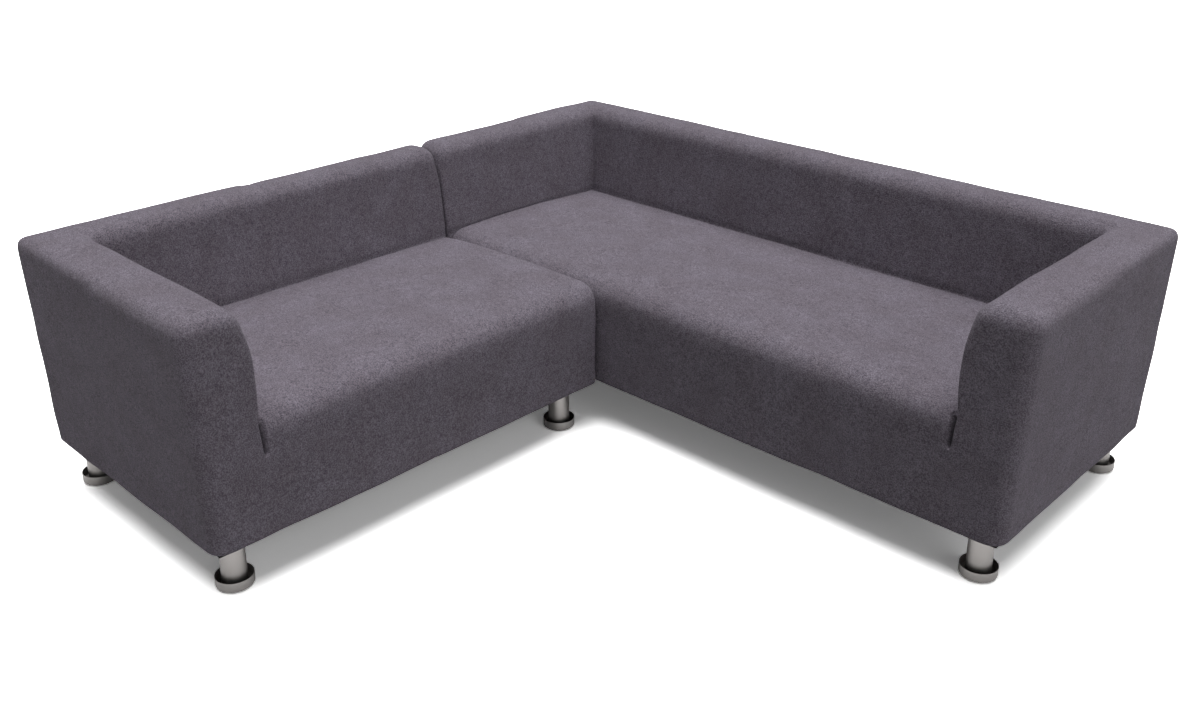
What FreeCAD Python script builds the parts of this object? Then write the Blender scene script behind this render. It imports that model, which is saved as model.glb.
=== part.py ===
import FreeCAD, Part
import math
import os

V = FreeCAD.Vector

# The whole sofa. X runs along the long module, Y along the short module, Z up from the floor.
overall_width = 2040.0
overall_depth = 2030.0
overall_height = 700.0
module_depth = 800.0
module_gap = 1.0

# Upholstered outline of both modules
seat_height = 435.0
underside_height = 132.0
back_thickness_at_seat = 148.0
back_thickness_at_top = 119.0
arm_thickness_at_seat = 166.0
arm_thickness_at_top = 142.0
end_flare = 25.0
wall_edge_radius = 42.0
seat_nose_radius = 55.0
seat_crown = 8.0
seat_end_radius = 20.0
seat_tuck = 6.0
seat_run_under_back = 45.0

# Cover: fabric with a fleece backing, and a hem of bare fabric turned under the frame
cover_thickness = 8.0
hem_thickness = 2.0
hem_width = 30.0
dart_bottom_height = 340.0
dart_width = 1.5
dart_depth = 30.0
foam_bevel = 20.0

# Cloth under the base
dust_cloth_thickness = 1.0
dust_cloth_inset = 15.0

# Wooden frame
frame_inset = 20.0
rail_thickness = 30.0
rail_height = 180.0
front_rail_face = 22.0
corner_block_size = 80.0
middle_rail_drop = 20.0
post_width = 40.0
post_depth = 50.0
top_rail_height = 30.0
foam_over_top_rail = 37.0
board_thickness = 4.0
board_clearance = 2.0

# Seat webbing
webbing_width = 60.0
webbing_thickness = 2.0
webbing_spacing = 100.0

# Legs
leg_inset_from_end = 80.0
leg_inset_from_front = 84.0
leg_inset_from_rear = 46.0
leg_tube_diameter = 60.0
leg_tube_wall = 2.0
leg_cap_thickness = 4.0
leg_bolt_diameter = 10.0
leg_bolt_head_across = 17.0
leg_bolt_head_height = 6.4
leg_bolt_tip_gap = 1.0
leg_bolt_play = 0.2
insert_diameter = 16.0
insert_length = 25.0
bush_length = 20.0
bush_height = 16.0

# Screw feet
stud_diameter = 12.0
stud_play = 0.05
stud_top_height = 52.0
stud_tip_bevel = 1.5
cup_diameter = 90.0
cup_wall = 1.6
cup_floor = 2.0
cup_height = 25.0
cup_bevel = 4.0
tube_floor_gap = 1.0
glide_diameter = 76.0
glide_thickness = 3.0
glide_bevel = 0.8
glide_spigot_diameter = 12.0
glide_spigot_height = 1.5
glide_spigot_end_gap = 0.1

# Connectors between the modules
connector_pin_diameter = 12.0
connector_pin_length = 22.0
connector_pin_tip = 2.0
connector_shank_diameter = 10.0
connector_shank_length = 30.0
connector_hole_play = 1.0
connector_plate_width = 60.0
connector_plate_thickness = 4.0
connector_plate_overlap = 30.0
connector_plate_bevel = 15.0
connector_plate_drop = 1.0
connector_screw_diameter = 5.0
connector_screw_head = 9.0
connector_screw_length = 22.0
connector_screw_spacing = 30.0
connector_depths = (260.0, 580.0)
cloth_hole_play = 0.2

# Round parts that stand on all eight legs are drawn with flat sides, close enough to round for each size
dish_sides = 24
stud_sides = 16
bolt_sides = 12

# Heights and lengths that follow from the sizes above
flare_lean = end_flare / (overall_height - underside_height)
flare_rounding_loss = wall_edge_radius * (flare_lean + math.sqrt(1 + flare_lean**2) - 1)
long_length = overall_width + flare_rounding_loss
short_length = overall_depth + flare_rounding_loss - module_depth - module_gap
frame_bottom = underside_height + hem_thickness
frame_top = frame_bottom + rail_height
webbing_top = frame_top + webbing_thickness
top_rail_top = overall_height - cover_thickness - foam_over_top_rail
post_top = top_rail_top - top_rail_height
rear_rail_face = module_depth - frame_inset
leg_top = underside_height - dust_cloth_thickness
tube_radius = leg_tube_diameter / 2
tube_bore_radius = tube_radius - leg_tube_wall
cup_bottom = glide_thickness
cup_floor_top = cup_bottom + cup_floor
cup_rim = cup_bottom + cup_height
tube_bottom = cup_floor_top + tube_floor_gap


def box(u0, u1, v0, v1, z0, z1):
    return Part.makeBox(u1 - u0, v1 - v0, z1 - z0, V(u0, v0, z0))


def cylinder(radius, u, v, z0, z1):
    return Part.makeCylinder(radius, z1 - z0, V(u, v, z0))


def lathe(outline, u, v, sides):
    """A solid round the upright axis at (u, v): each corner (radius, height) of the outline is a ring of flats."""
    turn = 2 * math.pi / sides
    rings = [
        [V(u + r * math.cos(i * turn), v + r * math.sin(i * turn), z) for i in range(sides + 1)] for r, z in outline
    ]
    faces = []
    for k in range(len(outline) - 1):
        for i in range(sides):
            loop = [rings[k][i]]
            if outline[k][0] > 0:
                loop.append(rings[k][i + 1])
            loop.append(rings[k + 1][i + 1])
            if outline[k + 1][0] > 0:
                loop.append(rings[k + 1][i])
            faces.append(Part.Face(Part.makePolygon(loop + loop[:1])))
    solid = Part.makeSolid(Part.makeShell(faces))
    if solid.Volume < 0:
        solid.reverse()
    return solid.removeSplitter()


def rod(radius, u, v, z0, z1, sides):
    """A round bar drawn with flat sides, whose corners lie on the circle."""
    return lathe([(0, z0), (radius, z0), (radius, z1), (0, z1)], u, v, sides)


def clear_bore(radius, u, v, z0, z1, sides):
    """The space of a bore drawn with flat sides, whose flats touch the circle so that nothing in it is pinched."""
    return rod(radius / math.cos(math.pi / sides), u, v, z0, z1, sides)


def across_depth(points, v0, v1):
    """A prism with corner points (u, z), run through the depth from v0 to v1."""
    loop = [V(u, v0, z) for u, z in points]
    return Part.Face(Part.makePolygon(loop + loop[:1])).extrude(V(0, v1 - v0, 0))


def along_length(edges, u0, u1):
    """A prism of a closed outline of edges in the plane u = 0, run along the length from u0 to u1."""
    face = Part.Face(Part.Wire(Part.__sortEdges__(edges)))
    face.translate(V(u0, 0, 0))
    return face.extrude(V(u1 - u0, 0, 0))


def line(a, b):
    return Part.LineSegment(V(0, *a), V(0, *b)).toShape()


def arc(a, middle, b):
    return Part.Arc(V(0, *a), V(0, *middle), V(0, *b)).toShape()


def solid_of(shape):
    """The one solid of a boolean result, with split faces joined again."""
    clean = shape.removeSplitter()
    return clean.Solids[0] if len(clean.Solids) == 1 else clean


class Skin:
    """One of the two faces of the upholstery: the outside of the cover, or the foam under it."""

    def __init__(self, inset, base, rounded):
        self.inset = inset
        self.bottom = underside_height + base
        self.top = overall_height - inset
        self.seat_top = seat_height - inset
        self.rounded = rounded


outside = Skin(0.0, 0.0, True)
foam_face = Skin(cover_thickness, hem_thickness, False)


class Module:
    """One upholstered module in its own frame: u along its length, v from its front to its rear, z up."""

    def __init__(self, name, length, left, right, bays):
        self.name = name
        self.length = length
        self.left = left
        self.right = right
        self.bays = bays
        self.left_flare = end_flare if left == "arm" else 0.0
        self.right_flare = end_flare if right == "arm" else 0.0
        self.frame_left = self.left_flare + frame_inset
        self.frame_right = length - self.right_flare - frame_inset

    def side_thickness(self, side):
        if side == "arm":
            return arm_thickness_at_seat, arm_thickness_at_top
        return back_thickness_at_seat, back_thickness_at_top

    def place(self, shape):
        """Moves a shape from the module's own frame to the sofa's."""
        placed = shape.copy()
        if self.name == "long":
            placed.translate(V(-overall_width / 2, overall_depth / 2 - module_depth, 0))
            return placed
        placed.rotate(V(0, 0, 0), V(0, 0, 1), 90)
        placed.translate(V(-overall_width / 2 + module_depth, -overall_depth / 2 - flare_rounding_loss, 0))
        return placed

    def legs(self):
        left = self.left_flare + leg_inset_from_end
        right = self.length - self.right_flare - leg_inset_from_end
        front = leg_inset_from_front
        rear = module_depth - leg_inset_from_rear
        ends = {"corner": left, "arm": right} if self.name == "long" else {"arm": left, "inner": right}
        return {f"{row}_{end}": (u, v) for row, v in (("front", front), ("rear", rear)) for end, u in ends.items()}


long_module = Module("long", long_length, "return", "arm", 4)
short_module = Module("short", short_length, "arm", "plain", 2)


def taper(z, at_seat, at_top):
    """Thickness at height z of a wall that thins evenly from the seat to the top."""
    return at_seat + (at_top - at_seat) * (z - seat_height) / (overall_height - seat_height)


def flare_at(z, flare):
    """How far the flared end face stands back from its top edge at height z."""
    return flare * (overall_height - z) / (overall_height - underside_height)


def side_wall(module, side, at_left, skin):
    """An arm or return over the whole depth, before its edges are rounded."""
    low, high, inset = skin.bottom, skin.top, skin.inset
    seat, top = module.side_thickness(side)
    flare = module.left_flare if at_left else module.right_flare
    corners = [
        (flare_at(low, flare) + inset, low),
        (flare_at(high, flare) + inset, high),
        (taper(high, seat, top) - inset, high),
        (taper(low, seat, top) - inset, low),
    ]
    if not at_left:
        corners = [(module.length - u, z) for u, z in corners]
    return across_depth(corners, inset, module_depth - inset)


def back_wall(module, skin):
    """The back over the whole length, with flared ends where an arm stands, before its edges are rounded."""
    low, high, inset = skin.bottom, skin.top, skin.inset
    rear = module_depth - inset
    inner_low = module_depth - taper(low, back_thickness_at_seat, back_thickness_at_top) + inset
    inner_high = module_depth - taper(high, back_thickness_at_seat, back_thickness_at_top) + inset
    corners = [(rear, low), (rear, high), (inner_high, high), (inner_low, low)]
    edges = [line(corners[i], corners[(i + 1) % 4]) for i in range(4)]
    ends = [
        (flare_at(low, module.left_flare) + inset, low),
        (flare_at(high, module.left_flare) + inset, high),
        (module.length - flare_at(high, module.right_flare) - inset, high),
        (module.length - flare_at(low, module.right_flare) - inset, low),
    ]
    return along_length(edges, 0, module.length).common(across_depth(ends, 0, module_depth))


def wall_form(module, skin):
    """Back, arm and return in one form: rounded edges on the outside of the cover, bevels on the foam."""
    form = back_wall(module, skin).fuse(side_wall(module, module.left, True, skin))
    if module.right != "plain":
        form = form.fuse(side_wall(module, module.right, False, skin))
    form = solid_of(form)
    near = 1.5 * wall_edge_radius
    edges = []
    for edge in form.Edges:
        size = edge.BoundBox
        u, v = size.Center.x, size.Center.y
        on_an_end = u < near or u > module.length - near
        on_front_or_rear = v < near or v > module_depth - near
        rises = size.ZLength > 3 * max(size.XLength, size.YLength)
        if size.ZMin > skin.top - 0.01 or (rises and (on_an_end or on_front_or_rear)):
            edges.append(edge)
    if skin.rounded:
        return solid_of(form.makeFillet(wall_edge_radius, edges))
    return solid_of(form.makeChamfer(foam_bevel, edges))


def seat_start(thickness):
    """How far from a module's end the seat block starts, inside the bevelled foam of the wall all along the frame."""
    at_seat, at_top = thickness
    thinnest = min(taper(z, at_seat, at_top) for z in (underside_height, webbing_top))
    bevel_over_rail = max(0.0, cover_thickness + foam_bevel - front_rail_face)
    return min(at_seat - seat_tuck, thinnest - cover_thickness - bevel_over_rail)


def seat_form(module, skin):
    """The seat block between the walls: upright front, round nose and a crowned top."""
    low, top, inset = skin.bottom, skin.seat_top, skin.inset
    foot = (inset, low)
    nose_start = (inset, top - seat_nose_radius)
    nose_end = (inset + seat_nose_radius, top)
    cut_back = seat_nose_radius * (1 - math.sqrt(0.5))
    nose = (inset + cut_back, top - cut_back)
    rear = module_depth - back_thickness_at_seat + seat_run_under_back
    crown = ((nose_end[0] + rear) / 2, top + seat_crown)
    edges = [
        line(foot, nose_start),
        arc(nose_start, nose, nose_end),
        arc(nose_end, crown, (rear, top)),
        line((rear, top), (rear, low)),
        line((rear, low), foot),
    ]
    u0 = seat_start(module.side_thickness(module.left))
    if module.right != "plain":
        return along_length(edges, u0, module.length - seat_start(module.side_thickness(module.right)))
    end = module.length - inset
    form = along_length(edges, u0, end)
    if not skin.rounded:
        return form
    rounded = []
    for edge in form.Edges:
        size = edge.BoundBox
        if size.XMin > end - 0.01 and size.ZMax > low + 1 and size.YMin < rear - 1:
            rounded.append(edge)
    return solid_of(form.makeFillet(seat_end_radius, rounded))


def base_space(module):
    """The space of the base frame and the webbing on it."""
    return box(
        module.frame_left, module.frame_right, front_rail_face, rear_rail_face, underside_height - 1, webbing_top
    )


def wall_space(module):
    """The space of the posts, top rails and boards of the back, the arm and the return."""
    depth = post_depth + board_thickness
    low = frame_top - 1
    left, right = module.frame_left, module.frame_right
    spaces = [
        box(left, right, rear_rail_face - depth, rear_rail_face, low, top_rail_top),
        box(left, left + depth, front_rail_face, rear_rail_face, low, top_rail_top),
    ]
    if module.right != "plain":
        spaces.append(box(right - depth, right, front_rail_face, rear_rail_face, low, top_rail_top))
    return spaces


def mitre_prism(module, at_left):
    """Everything on the side wall's side of the mitre plane through the rear corner."""
    seat, top = module.side_thickness(module.left if at_left else module.right)
    inner_u = (seat + top) / 2
    inner_v = module_depth - (back_thickness_at_seat + back_thickness_at_top) / 2
    lean = (module_depth - inner_v) / inner_u
    far = module_depth / lean
    corners = [(-far, -far * lean), (far, -far * lean), (far, 0), (-far, 2 * module_depth)]
    if not at_left:
        corners = [(module.length - u, v) for u, v in corners]
    loop = [V(u, v, 0) for u, v in corners]
    return Part.Face(Part.makePolygon(loop + loop[:1])).extrude(V(0, 0, 2 * overall_height))


def soft_pieces(module):
    """The foam blocks and the cover of one module."""
    walls = wall_form(module, foam_face)
    seat = seat_form(module, foam_face)
    pieces = {}

    base = base_space(module)
    padding = walls.cut([base] + wall_space(module))
    left_prism = mitre_prism(module, True)
    left_name = "return" if module.left == "return" else "arm"
    pieces[left_name + "_foam"] = padding.common(left_prism)
    back = padding.cut(left_prism)
    if module.right != "plain":
        right_prism = mitre_prism(module, False)
        pieces["arm_foam"] = padding.common(right_prism)
        back = back.cut(right_prism)
    pieces["back_foam"] = back
    pieces["seat_foam"] = seat.cut([walls, base])

    cuts = [walls, seat]
    cuts.append(box(
        module.left_flare + hem_width, module.length - module.right_flare - hem_width,
        hem_width, module_depth - hem_width, underside_height - 1, frame_bottom,
    ))
    for at_left, side in ((True, module.left), (False, module.right)):
        if side == "arm":
            u = arm_thickness_at_seat if at_left else module.length - arm_thickness_at_seat
            half = dart_width / 2
            cuts.append(box(u - half, u + half, -1, dart_depth, dart_bottom_height, seat_height))
    pieces["cover"] = wall_form(module, outside).fuse(seat_form(module, outside)).cut(cuts)
    return pieces


def frame_pieces(module):
    """The wooden frame and the seat webbing of one module."""
    left, right = module.frame_left, module.frame_right
    front, rear = front_rail_face, rear_rail_face
    block = corner_block_size
    z0, z1 = frame_bottom, frame_top
    pieces = {}

    pieces["front_rail"] = box(left + block, right - block, front, front + rail_thickness, z0, z1)
    pieces["rear_rail"] = box(left + block, right - block, rear - rail_thickness, rear, z0, z1)

    cross = []
    for u in (left, right - rail_thickness):
        cross.append(box(u, u + rail_thickness, front + block, rear - block, z0, z1))
    bay = (right - left) / module.bays
    for i in range(1, module.bays):
        u = left + i * bay - rail_thickness / 2
        low_top = z1 - middle_rail_drop
        cross.append(box(u, u + rail_thickness, front + rail_thickness, rear - rail_thickness, z0, low_top))
    pieces["cross_rails"] = cross

    blocks = []
    legs = list(module.legs().values())
    for u in (left, right - block):
        for v in (front, rear - block):
            solid = box(u, u + block, v, v + block, z0, z1)
            for leg_u, leg_v in legs:
                if u < leg_u < u + block and v < leg_v < v + block:
                    solid = solid.cut(rod(insert_diameter / 2, leg_u, leg_v, z0, z0 + insert_length, bolt_sides))
            blocks.append(solid)
    pieces["corner_blocks"] = blocks

    posts = []
    starts = [left] + [left + i * bay - post_width / 2 for i in range(1, module.bays)] + [right - post_width]
    for u in starts:
        posts.append(box(u, u + post_width, rear - post_depth, rear, z1, post_top))
    side_starts = [left] if module.right == "plain" else [left, right - post_depth]
    for u in side_starts:
        posts.append(box(u, u + post_depth, front, front + post_width, z1, post_top))
    pieces["posts"] = posts

    pieces["back_top_rail"] = box(left, right, rear - post_depth, rear, post_top, top_rail_top)
    board_v = rear - post_depth - board_thickness
    board_low = webbing_top + board_clearance
    side_rails = []
    side_boards = []
    for u in side_starts:
        side_rails.append(box(u, u + post_depth, front, board_v, post_top, top_rail_top))
        board_u = u + post_depth if u == left else u - board_thickness
        side_boards.append(box(board_u, board_u + board_thickness, front, board_v, board_low, top_rail_top))
    pieces["side_top_rails"] = side_rails
    pieces["side_boards"] = side_boards
    pieces["back_board"] = box(left, right, board_v, board_v + board_thickness, board_low, top_rail_top)

    webs = []
    for i in range(module.bays):
        start = max(left + i * bay + post_width / 2, left + post_depth)
        end = min(left + (i + 1) * bay - post_width / 2, right - post_depth)
        count = int((end - start) / webbing_spacing)
        pitch = (end - start) / count
        for j in range(count):
            u = start + (j + 0.5) * pitch
            webs.append(box(u - webbing_width / 2, u + webbing_width / 2, front, rear, z1, webbing_top))
    pieces["seat_webbing"] = webs
    return pieces


def leg_tube(u, v):
    """A steel tube closed by a cap at its top, with a hole in the cap for the bolt."""
    cap_bottom = leg_top - leg_cap_thickness
    tube = cylinder(tube_radius, u, v, tube_bottom, leg_top).cut(cylinder(tube_bore_radius, u, v, tube_bottom, cap_bottom))
    return tube.cut(clear_bore(leg_bolt_diameter / 2 + leg_bolt_play, u, v, cap_bottom, leg_top, bolt_sides))


def leg_bolt(u, v):
    """A hexagon bolt from inside the tube, up through its cap into the threaded insert."""
    cap_bottom = leg_top - leg_cap_thickness
    head = rod(leg_bolt_head_across / math.sqrt(3), u, v, cap_bottom - leg_bolt_head_height, cap_bottom, 6)
    tip = frame_bottom + insert_length - leg_bolt_tip_gap
    return solid_of(head.fuse(rod(leg_bolt_diameter / 2, u, v, cap_bottom, tip, bolt_sides)))


def leg_insert(u, v):
    """A threaded steel sleeve in the corner block."""
    bore, outer, top = leg_bolt_diameter / 2, insert_diameter / 2, frame_bottom + insert_length
    outline = [(bore, frame_bottom), (outer, frame_bottom), (outer, top), (bore, top), (bore, frame_bottom)]
    return lathe(outline, u, v, bolt_sides)


def leg_bush(u, v):
    """A plastic plug in the foot of the tube, whose bore carries the stud of the cup."""
    top = bush_height + bush_length
    plug = rod(tube_bore_radius, u, v, bush_height, top, dish_sides)
    return plug.cut(clear_bore(stud_diameter / 2 + stud_play, u, v, bush_height, top, stud_sides))


def cup_foot(u, v):
    """An open dish with its threaded stud, which turns and screws up and down in the bush of the leg."""
    outer = cup_diameter / 2
    dish = lathe(
        [(0, cup_bottom), (outer - cup_bevel, cup_bottom), (outer, cup_bottom + cup_bevel), (outer, cup_rim),
         (outer - cup_wall, cup_rim), (outer - cup_wall, cup_floor_top), (0, cup_floor_top)],
        u, v, dish_sides,
    )
    radius = stud_diameter / 2
    stud = lathe(
        [(0, cup_floor_top), (radius, cup_floor_top), (radius, stud_top_height - stud_tip_bevel),
         (radius - stud_tip_bevel, stud_top_height), (0, stud_top_height)],
        u, v, stud_sides,
    )
    recess_top = cup_bottom + glide_spigot_height + glide_spigot_end_gap
    recess = clear_bore(glide_spigot_diameter / 2 + stud_play, u, v, cup_bottom, recess_top, stud_sides)
    return solid_of(dish.fuse(stud).cut(recess))


def glide_pad(u, v):
    """A disc that lies on the floor, with a spigot on which the cup turns."""
    radius = glide_diameter / 2
    top = glide_thickness
    disc = lathe(
        [(0, 0), (radius - glide_bevel, 0), (radius, glide_bevel), (radius, top), (0, top)], u, v, dish_sides
    )
    return solid_of(disc.fuse(rod(glide_spigot_diameter / 2, u, v, top, top + glide_spigot_height, stud_sides)))


def dust_cloth(module, holes):
    """The thin cloth under the base, with a hole for each bolt, pin or screw that passes it."""
    low = underside_height - dust_cloth_thickness
    cloth = box(
        module.left_flare + dust_cloth_inset, module.length - module.right_flare - dust_cloth_inset,
        dust_cloth_inset, module_depth - dust_cloth_inset, low, underside_height,
    )
    for u, v, radius in holes:
        cloth = cloth.cut(clear_bore(radius + cloth_hole_play, u, v, low, underside_height, bolt_sides))
    return cloth


def connector_places():
    """Pin places in the short module's frame, and the same places in the long module's frame."""
    pin_u = short_length - frame_inset - rail_thickness / 2
    to_front = short_length + module_gap - pin_u
    return [((pin_u, depth), (module_depth - depth, -to_front)) for depth in connector_depths]


def connector_pin(u, v):
    """A pin with a tapered tip under the short module, and its shank up in the end rail."""
    low = underside_height - dust_cloth_thickness
    tip = low - connector_pin_length
    pin = connector_pin_diameter / 2
    shank = connector_shank_diameter / 2
    shank_top = frame_bottom + connector_shank_length
    return lathe(
        [(0, tip), (pin - connector_pin_tip, tip), (pin, tip + connector_pin_tip), (pin, low), (shank, low),
         (shank, shank_top), (0, shank_top)],
        u, v, stud_sides,
    )


def connector_screw(u, v, head_face):
    """A countersunk wood screw driven up from the plate's underside."""
    radius = connector_screw_diameter / 2
    head = connector_screw_head / 2
    tip = head_face + connector_screw_length
    return lathe(
        [(0, head_face), (head, head_face), (radius, head_face + head - radius), (radius, tip), (0, tip)],
        u, v, bolt_sides,
    )


def connector_pieces():
    """Pins under the short module, plates under the long module, and the screws of the plates."""
    pins, plates, screws = [], [], []
    low = underside_height - dust_cloth_thickness
    plate_top = low - connector_plate_drop
    plate_bottom = plate_top - connector_plate_thickness
    plate_rear = front_rail_face + rail_thickness
    screw_v = front_rail_face + rail_thickness / 2
    half = connector_plate_width / 2
    for (u, v), (plate_u, hole_v) in connector_places():
        pins.append(connector_pin(u, v))
        left, right = plate_u - half, plate_u + half
        front = hole_v - connector_plate_overlap
        plate = box(left, right, front, plate_rear, plate_bottom, plate_top)
        corners = [e for e in plate.Edges if e.BoundBox.ZLength > 1 and e.BoundBox.YMax < front + 0.01]
        plate = plate.makeChamfer(connector_plate_bevel, corners)
        plate = plate.fuse(box(left, right, dust_cloth_inset, plate_rear, plate_top, low))
        hole_radius = connector_pin_diameter / 2 + connector_hole_play
        cuts = [clear_bore(hole_radius, plate_u, hole_v, plate_bottom, plate_top, stud_sides)]
        for side in (-1, 1):
            screw = connector_screw(plate_u + side * connector_screw_spacing / 2, screw_v, plate_bottom)
            screws.append(screw)
            cuts.append(screw)
        plates.append(solid_of(plate.cut(cuts)))
    return pins, plates, screws


def drilled(solids, tools):
    """Cuts tools from each of a list of solids that they reach."""
    result = []
    for solid in solids:
        reached = [tool for tool in tools if tool.BoundBox.intersect(solid.BoundBox)]
        result.append(solid.cut(reached) if reached else solid)
    return result


def save(name, shapes):
    solids = [solid for shape in shapes for solid in shape.Solids]
    for solid in solids:
        if not solid.isValid() or solid.Volume <= 0:
            print("bad solid in", name)
    Part.makeCompound(solids).exportStep(f"parts/{name}.step")
    print(f"{name}: {len(solids)} solids, {sum(s.Volume for s in solids) / 1e6:.3f} litres")


os.makedirs("parts", exist_ok=True)
pins, plates, screws = connector_pieces()
for module in (long_module, short_module):
    pieces = frame_pieces(module)
    pieces.update(soft_pieces(module))
    places = module.legs()
    holes = [(u, v, leg_bolt_diameter / 2) for u, v in places.values()]
    if module is long_module:
        pieces["front_rail"] = drilled([pieces["front_rail"]], screws)
        centres = [screw.BoundBox.Center for screw in screws]
        holes += [(centre.x, centre.y, connector_screw_diameter / 2) for centre in centres]
    else:
        pieces["cross_rails"] = drilled(pieces["cross_rails"], pins)
        holes += [(u, v, connector_pin_diameter / 2) for (u, v), _ in connector_places()]
    pieces["dust_cloth"] = dust_cloth(module, holes)
    for name, make in (("tubes", leg_tube), ("bolts", leg_bolt), ("inserts", leg_insert), ("bushes", leg_bush)):
        pieces["leg_" + name] = [make(u, v) for u, v in places.values()]
    for name, shape in pieces.items():
        shapes = shape if isinstance(shape, list) else [shape]
        save(f"{module.name}_{name}", [module.place(s) for s in shapes])
    for name, (u, v) in places.items():
        save(f"cup_{module.name}_{name}", [module.place(cup_foot(u, v))])
        save(f"glide_{module.name}_{name}", [module.place(glide_pad(u, v))])
save("connector_pins", [short_module.place(pin) for pin in pins])
save("connector_plates", [long_module.place(plate) for plate in plates])
save("connector_screws", [long_module.place(screw) for screw in screws])
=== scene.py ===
# %% [markdown]
# A corner sofa of two upholstered modules. The long module stands along +X with its back at the
# rear, a corner return at its left end and an arm at its right end. The short module stands in
# front of the return, with its back to the left, an arm at its near end and a plain end against
# the long module.
#
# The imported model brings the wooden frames, boards, bolts and fittings as they are. This script
# adds what the eye meets: the fabric covers over their foam, the straps and cloths under them,
# the steel legs, a finish for every piece, and light and a camera for the picture.

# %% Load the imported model
import math
import bpy
import numpy as np
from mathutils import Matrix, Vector


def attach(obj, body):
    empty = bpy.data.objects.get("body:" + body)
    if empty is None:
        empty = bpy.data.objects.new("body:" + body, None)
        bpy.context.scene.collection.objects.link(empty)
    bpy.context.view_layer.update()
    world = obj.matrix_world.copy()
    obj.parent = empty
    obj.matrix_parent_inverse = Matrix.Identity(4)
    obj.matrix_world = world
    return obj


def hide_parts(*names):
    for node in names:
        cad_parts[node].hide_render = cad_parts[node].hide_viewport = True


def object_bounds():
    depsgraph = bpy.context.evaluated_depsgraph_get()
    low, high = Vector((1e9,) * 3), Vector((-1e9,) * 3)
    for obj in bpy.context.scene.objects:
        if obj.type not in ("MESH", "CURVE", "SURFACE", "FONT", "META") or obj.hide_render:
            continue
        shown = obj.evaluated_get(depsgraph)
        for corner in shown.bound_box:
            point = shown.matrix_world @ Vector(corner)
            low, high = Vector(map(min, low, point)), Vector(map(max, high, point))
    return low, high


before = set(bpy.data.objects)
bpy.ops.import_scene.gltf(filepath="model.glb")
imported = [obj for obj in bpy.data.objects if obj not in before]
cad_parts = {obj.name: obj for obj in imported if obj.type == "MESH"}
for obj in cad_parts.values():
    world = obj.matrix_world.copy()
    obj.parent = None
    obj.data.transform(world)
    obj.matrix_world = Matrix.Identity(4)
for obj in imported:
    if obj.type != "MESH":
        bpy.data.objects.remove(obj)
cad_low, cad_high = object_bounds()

print("packed box", [round(x, 3) for x in cad_low], [round(x, 3) for x in cad_high])

# %% [markdown]
# Blender works in metres and in linear colour. A maker thinks in millimetres and picks colours
# as they look on a screen, so two small helpers translate. The third makes a mesh object out of
# arrays, so that every shape below is worked out with numpy and handed over in one go.

# %% Helpers for sizes, colours and meshes
MM = 0.001


def colour(code):
    """A screen colour such as #808080 as the linear RGBA that a shader expects."""
    screen = np.array([int(code[i:i + 2], 16) for i in (1, 3, 5)]) / 255
    linear = np.where(screen <= 0.04045, screen / 12.92, ((screen + 0.055) / 1.055) ** 2.4)
    return (*linear.tolist(), 1.0)


def mesh_object(name, points, faces, smooth=True):
    """A new object whose mesh has these points (n x 3, metres) and faces (lists of point numbers)."""
    mesh = bpy.data.meshes.new(name)
    mesh.from_pydata(np.asarray(points).tolist(), [], [list(map(int, face)) for face in faces])
    mesh.update()
    if smooth:
        mesh.shade_smooth()
    made = bpy.data.objects.new(name, mesh)
    bpy.context.scene.collection.objects.link(made)
    return made


# %% [markdown]
# The sofa's main sizes. Most are the ones that the frame was built to: the height of the seat
# and the back, how thick the padded walls are, and how far the fabric rounds at edges. A few are
# fitted to how the finished padding looks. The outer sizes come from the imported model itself.

# %% Sizes of the upholstery
height = cad_high.z
width = cad_high.x - cad_low.x
depth = cad_high.y - cad_low.y
module_depth = 800 * MM
underside = 132 * MM
seat_height = 435 * MM
dart_foot = 334 * MM
wall_round = 42 * MM
rear_corner_round = 28 * MM
nose_round = 55 * MM
plain_end_round = 22 * MM
hem_round = 10 * MM
end_flare = 25 * MM
arm_bulge = 11 * MM
seat_crown = 8 * MM
seat_fall = 10 * MM
seat_run_under_back = 45 * MM
gap_between_modules = 1 * MM
thickness_at_seat = {"arm": 166 * MM, "back": 152 * MM}
thickness_at_top = {"arm": 149 * MM, "back": 119 * MM}
seam_places = {"long": [710 * MM, 1325 * MM], "short": [638 * MM]}

# %% [markdown]
# Both modules are built alike, so each is shaped in a frame of its own and then put in its place
# in the sofa. An arm leans out to its top edge. That edge is rounded, so the widest place lies a
# little inside the sharp corner, and a module's length is counted to the sharp corner.

# %% The two modules
flare_lean = end_flare / (height - underside)
lost_to_rounding = wall_round * (flare_lean + math.sqrt(1 + flare_lean ** 2) - 1)


class Module:
    """One upholstered module, with u along its length, v from front to rear and z up."""

    def __init__(self, name, length, left, right):
        self.name = name
        self.length = length
        self.left = left
        self.right = right

    def to_sofa(self, local):
        """Turns points (u, v, z) of the module into points (x, y, z) of the sofa."""
        u, v, z = np.asarray(local).T
        if self.name == "long":
            return np.column_stack([u - width / 2, v + depth / 2 - module_depth, z])
        return np.column_stack([module_depth - width / 2 - v, u - depth / 2 - lost_to_rounding, z])


long_length = width + lost_to_rounding
short_length = depth + lost_to_rounding - module_depth - gap_between_modules
modules = [Module("long", long_length, "back", "arm"), Module("short", short_length, "arm", "plain")]
print("module lengths", [round(m.length, 4) for m in modules])

# %% [markdown]
# The upholstery is one continuous padded skin per module: foam on boards, with fabric pulled
# over it. It could be modelled by pushing a cube about, but a padded wall is better described by
# distances: how far is a point from this face, and from that one? Where two faces meet, the
# distances are joined with a rounding radius, which is what foam and fabric do to an edge.
# Points of a grid are then drawn onto the place where the joined distance is zero.

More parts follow.
